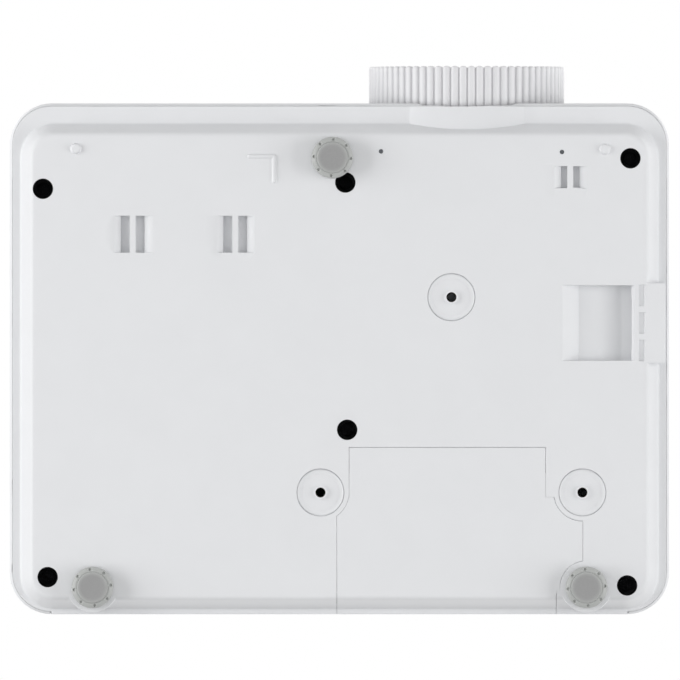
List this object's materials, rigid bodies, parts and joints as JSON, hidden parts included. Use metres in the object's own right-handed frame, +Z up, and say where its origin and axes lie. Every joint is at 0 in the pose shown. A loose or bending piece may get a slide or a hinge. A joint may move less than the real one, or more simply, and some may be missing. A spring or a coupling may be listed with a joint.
{
  "type": "projector with a built-in disc player",
  "caption": "Digital projector with a tray-loading disc drive: ceiling screw holes, levelling screw feet, focus ring, zoom lever, keypad and lamp door.",
  "frame": {"origin": "middle of the whole outline, on the surface that the three feet stand on", "axes": "+Z up through the top cover, -Y out of the lens, +X to the right seen from the front"},
  "size_m": [0.316, 0.2628, 0.1188],
  "materials": {
    "white_shell": "fine spark-eroded texture, moulded",
    "grey_plastic": "moulded, satin",
    "black_plastic": "moulded, satin",
    "dark_window": "moulded, polished",
    "foot_plastic": "moulded, satin",
    "pad_rubber": "moulded, matt",
    "zinc_steel": "zinc plated",
    "black_steel": "black oxide",
    "brass": "turned and knurled",
    "aluminium": "cast and extruded",
    "lens_glass": "coated, polished",
    "circuit_board": "glass-fibre laminate, lacquered",
    "reflector": "vacuum coated glass"
  },
  "bodies": {
    "case": {"lower_case": "white_shell", "upper_case": "white_shell", "lamp_door": "white_shell", "rear_panel": "grey_plastic", "rear_grille": "grey_plastic", "front_grille": "grey_plastic", "intake_grille": "grey_plastic", "exhaust_grille": "grey_plastic", "ir_window": "dark_window", "chassis_frame": "black_steel", "case_screws": "black_steel", "small_screws": "black_steel", "mount_inserts": "brass", "foot_nuts": "zinc_steel", "lens_barrel": "black_plastic", "optical_engine": "aluminium", "chip_board": "circuit_board", "chip_heatsink": "aluminium", "color_wheel_motor": "black_plastic", "lamp_housing": "black_plastic", "lamp_reflector": "reflector", "fan_frame": "black_plastic", "speaker": "black_plastic", "main_board": "circuit_board", "power_board": "circuit_board", "keypad_board": "circuit_board", "port_shells": "zinc_steel", "phono_sockets": "brass", "ac_inlet": "black_plastic", "ac_pins": "zinc_steel", "drive_case": "zinc_steel", "drive_cover": "zinc_steel"},
    "front_foot_pad": {"front_foot_pad": "pad_rubber"},
    "front_foot_knob": {"front_foot_knob": "foot_plastic"},
    "left_foot_pad": {"left_foot_pad": "pad_rubber"},
    "left_foot_knob": {"left_foot_knob": "foot_plastic"},
    "right_foot_pad": {"right_foot_pad": "pad_rubber"},
    "right_foot_knob": {"right_foot_knob": "foot_plastic"},
    "focus_ring": {"focus_ring": "white_shell"},
    "lens_cell": {"lens_cell": "black_plastic", "front_lens": "lens_glass"},
    "zoom_ring": {"zoom_ring": "grey_plastic"},
    "color_wheel": {"color_wheel": "lens_glass"},
    "fan_rotor": {"fan_rotor": "black_plastic"},
    "disc_tray": {"disc_tray": "black_plastic", "tray_bezel": "white_shell", "guide_rods": "zinc_steel"},
    "tray_rails": {"tray_rails": "zinc_steel"},
    "eject_button": {"eject_button": "grey_plastic"},
    "spindle": {"spindle_hub": "black_plastic"},
    "pickup_sled": {"pickup_sled": "black_plastic"},
    "lead_screw": {"lead_screw": "zinc_steel"},
    "power_button": {"power_button": "grey_plastic"},
    "menu_button": {"menu_button": "grey_plastic"},
    "source_button": {"source_button": "grey_plastic"},
    "up_button": {"up_button": "grey_plastic"},
    "down_button": {"down_button": "grey_plastic"},
    "left_button": {"left_button": "grey_plastic"},
    "right_button": {"right_button": "grey_plastic"},
    "enter_button": {"enter_button": "grey_plastic"}
  },
  "joints": [
    {"name": "front_foot_height", "type": "slide", "parent": "case", "child": "front_foot_pad", "axis": [0, 0, -1], "range_m": [0, 0.012]},
    {"name": "front_foot_turn", "type": "hinge", "parent": "front_foot_pad", "child": "front_foot_knob", "pos_m": [-0.0034, -0.0873, 0], "axis": [0, 0, -1], "range_deg": [0, 2160]},
    {"name": "left_foot_height", "type": "slide", "parent": "case", "child": "left_foot_pad", "axis": [0, 0, -1], "range_m": [0, 0.012]},
    {"name": "left_foot_turn", "type": "hinge", "parent": "left_foot_pad", "child": "left_foot_knob", "pos_m": [-0.1182, 0.1184, 0], "axis": [0, 0, -1], "range_deg": [0, 2160]},
    {"name": "right_foot_height", "type": "slide", "parent": "case", "child": "right_foot_pad", "axis": [0, 0, -1], "range_m": [0, 0.012]},
    {"name": "right_foot_turn", "type": "hinge", "parent": "right_foot_pad", "child": "right_foot_knob", "pos_m": [0.1182, 0.1184, 0], "axis": [0, 0, -1], "range_deg": [0, 2160]},
    {"name": "focus_turn", "type": "hinge", "parent": "case", "child": "focus_ring", "pos_m": [0.0612, -0.1134, 0.066], "axis": [0, 1, 0], "range_deg": [0, 120]},
    {"name": "focus_shift", "type": "slide", "parent": "case", "child": "lens_cell", "axis": [0, -1, 0], "range_m": [0, 0.003]},
    {"name": "zoom_turn", "type": "hinge", "parent": "case", "child": "zoom_ring", "pos_m": [0.0612, -0.0814, 0.066], "axis": [0, 1, 0], "range_deg": [-15, 15]},
    {"name": "color_wheel_spin", "type": "hinge", "parent": "case", "child": "color_wheel", "pos_m": [0.0802, 0, 0.0635], "axis": [0, 1, 0], "continuous": true},
    {"name": "fan_spin", "type": "hinge", "parent": "case", "child": "fan_rotor", "pos_m": [0.135, 0.0724, 0.065], "axis": [1, 0, 0], "continuous": true},
    {"name": "tray_slide", "type": "slide", "parent": "case", "child": "disc_tray", "axis": [0, -1, 0], "range_m": [0, 0.115]},
    {"name": "rail_slide", "type": "slide", "parent": "case", "child": "tray_rails", "axis": [0, -1, 0], "range_m": [0, 0.0575]},
    {"name": "eject_press", "type": "slide", "parent": "disc_tray", "child": "eject_button", "axis": [0, 1, 0], "range_m": [0, 0.0012], "stiffness_N_per_m": 300},
    {"name": "spindle_spin", "type": "hinge", "parent": "disc_tray", "child": "spindle", "pos_m": [-0.0687, -0.0494, 0.04], "axis": [0, 0, 1], "continuous": true},
    {"name": "pickup_slide", "type": "slide", "parent": "disc_tray", "child": "pickup_sled", "axis": [0.7071, 0.7071, 0], "range_m": [0, 0.034]},
    {"name": "lead_screw_turn", "type": "hinge", "parent": "disc_tray", "child": "lead_screw", "pos_m": [-0.06128, -0.05683, 0.0394], "axis": [0.7071, 0.7071, 0], "range_deg": [0, 4100]},
    {"name": "power_press", "type": "slide", "parent": "case", "child": "power_button", "axis": [0, 0, -1], "range_m": [0, 0.0006], "stiffness_N_per_m": 250},
    {"name": "menu_press", "type": "slide", "parent": "case", "child": "menu_button", "axis": [0, 0, -1], "range_m": [0, 0.0006], "stiffness_N_per_m": 250},
    {"name": "source_press", "type": "slide", "parent": "case", "child": "source_button", "axis": [0, 0, -1], "range_m": [0, 0.0006], "stiffness_N_per_m": 250},
    {"name": "up_press", "type": "slide", "parent": "case", "child": "up_button", "axis": [0, 0, -1], "range_m": [0, 0.0006], "stiffness_N_per_m": 250},
    {"name": "down_press", "type": "slide", "parent": "case", "child": "down_button", "axis": [0, 0, -1], "range_m": [0, 0.0006], "stiffness_N_per_m": 250},
    {"name": "left_press", "type": "slide", "parent": "case", "child": "left_button", "axis": [0, 0, -1], "range_m": [0, 0.0006], "stiffness_N_per_m": 250},
    {"name": "right_press", "type": "slide", "parent": "case", "child": "right_button", "axis": [0, 0, -1], "range_m": [0, 0.0006], "stiffness_N_per_m": 250},
    {"name": "enter_press", "type": "slide", "parent": "case", "child": "enter_button", "axis": [0, 0, -1], "range_m": [0, 0.0006], "stiffness_N_per_m": 250}
  ],
  "couplings": [
    {"joint": "front_foot_turn", "follows": "front_foot_height", "rad_per_m": 3141.6},
    {"joint": "left_foot_turn", "follows": "left_foot_height", "rad_per_m": 3141.6},
    {"joint": "right_foot_turn", "follows": "right_foot_height", "rad_per_m": 3141.6},
    {"joint": "focus_shift", "follows": "focus_turn", "m_per_rad": 0.001431},
    {"joint": "rail_slide", "follows": "tray_slide", "ratio": 0.5},
    {"joint": "lead_screw_turn", "follows": "pickup_slide", "rad_per_m": 2094.4}
  ]
}
